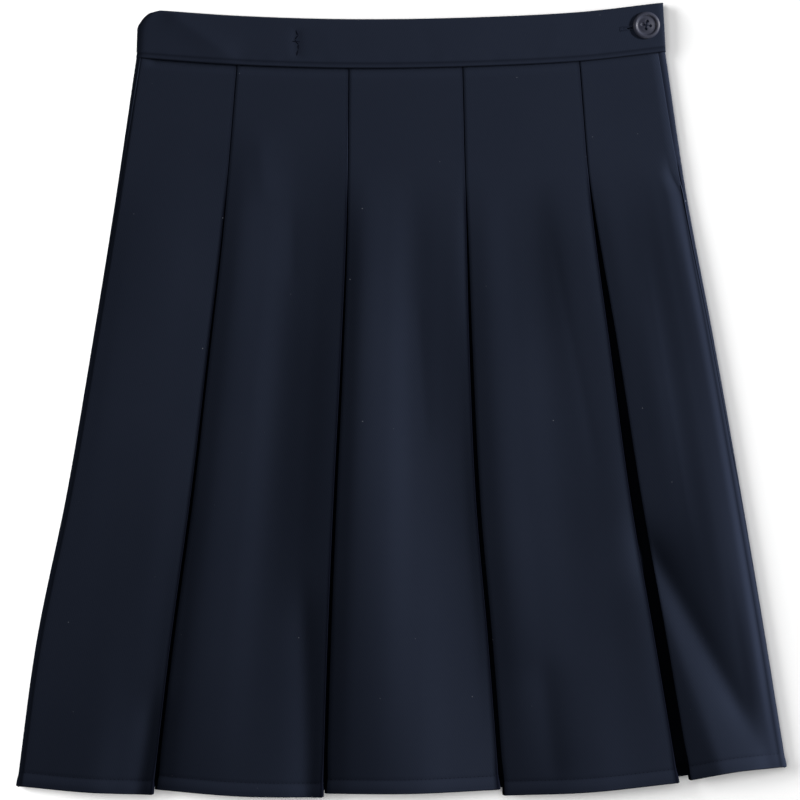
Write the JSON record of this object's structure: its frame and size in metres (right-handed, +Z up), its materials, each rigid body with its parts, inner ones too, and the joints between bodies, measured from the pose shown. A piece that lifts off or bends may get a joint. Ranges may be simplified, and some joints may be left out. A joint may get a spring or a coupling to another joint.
{
  "type": "box pleated skirt",
  "caption": "Knee-length box pleated skirt laid flat with its front up: inverted pleats sewn down at the hips, a plain waistband, and a side opening closed by a button.",
  "frame": {"origin": "centre of the bounding box's bottom face, on the surface that the skirt lies on", "axes": "+Y from the hem up to the waist, +Z up out of the front, +X towards the side opening"},
  "size_m": [0.434, 0.4475, 0.0121],
  "materials": {
    "navy_suiting": "smooth twill with a faint sheen",
    "navy_button_plastic": "satin"
  },
  "bodies": {
    "root": {"front_panel": "navy_suiting", "back_panel": "navy_suiting", "waistband": "navy_suiting", "button": "navy_button_plastic"}
  },
  "joints": []
}
